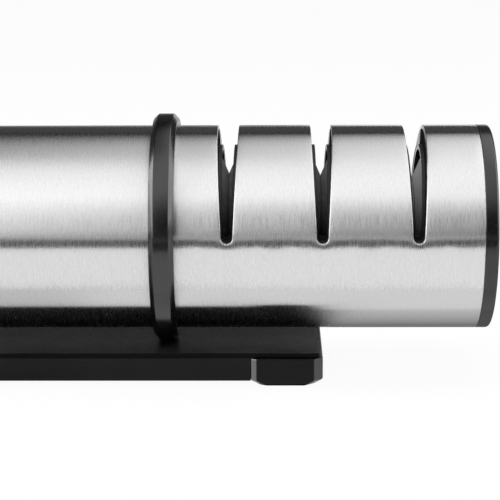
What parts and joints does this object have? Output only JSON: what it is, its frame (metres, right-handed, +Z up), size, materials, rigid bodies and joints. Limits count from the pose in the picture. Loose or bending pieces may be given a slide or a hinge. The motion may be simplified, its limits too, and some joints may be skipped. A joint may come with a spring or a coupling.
{
  "type": "pull-through knife sharpener",
  "caption": "Hand-held and table knife sharpener: a slotted steel tube on a low black base, with pairs of abrasive wheels that turn on axles inside it.",
  "frame": {"origin": "on the table, under the middle of the whole length", "axes": "+X along the tube towards the end with the slots, +Y the way a blade is drawn through, away from the picture's camera, +Z up"},
  "size_m": [0.2104, 0.0558, 0.0636],
  "materials": {
    "tube_steel": "fine brushing round the tube, bright deburred slot edges",
    "cap_black": "satin, finely textured",
    "collar_black": "satin, finely textured",
    "cartridge_black": "satin moulded plastic",
    "plate_black": "satin, finely textured",
    "tray_black": "satin moulded plastic",
    "foot_rubber": "matt rubber",
    "screw_zinc": "zinc plated",
    "axle_steel": "ground pin",
    "hub_nylon": "plain nylon",
    "spacer_nylon": "natural nylon",
    "coarse_grit": "steel coated with coarse grit",
    "fine_grit": "steel coated with fine grit",
    "hone_ceramic": "sintered ceramic, matt"
  },
  "bodies": {
    "frame": {"steel_tube": "tube_steel", "head_cap": "cap_black", "tail_cap": "cap_black", "cartridge_front": "cartridge_black", "cartridge_back": "cartridge_black", "cartridge_screws": "screw_zinc", "head_plug": "cartridge_black", "tail_plug": "cartridge_black", "head_ring": "collar_black", "tail_ring": "collar_black", "ring_screws": "screw_zinc", "base_plate": "plate_black", "base_tray": "tray_black", "head_foot": "foot_rubber", "tail_foot": "foot_rubber", "coarse_axle": "axle_steel", "coarse_spacers": "spacer_nylon", "fine_axle": "axle_steel", "fine_spacers": "spacer_nylon", "hone_axle": "axle_steel", "hone_spacers": "spacer_nylon"},
    "coarse_wheels": {"coarse_hub": "hub_nylon", "coarse_wheel_inner": "coarse_grit", "coarse_wheel_outer": "coarse_grit"},
    "fine_wheels": {"fine_hub": "hub_nylon", "fine_wheel_inner": "fine_grit", "fine_wheel_outer": "fine_grit"},
    "hone_wheels": {"hone_hub": "hub_nylon", "hone_wheel_inner": "hone_ceramic", "hone_wheel_outer": "hone_ceramic"}
  },
  "joints": [
    {"name": "coarse_spin", "type": "hinge", "parent": "frame", "child": "coarse_wheels", "pos_m": [0.0415, 0, 0.03825], "axis": [1, 0, 0], "continuous": true},
    {"name": "fine_spin", "type": "hinge", "parent": "frame", "child": "fine_wheels", "pos_m": [0.064, 0, 0.03825], "axis": [1, 0, 0], "continuous": true},
    {"name": "hone_spin", "type": "hinge", "parent": "frame", "child": "hone_wheels", "pos_m": [0.0865, 0, 0.03825], "axis": [1, 0, 0], "continuous": true}
  ]
}
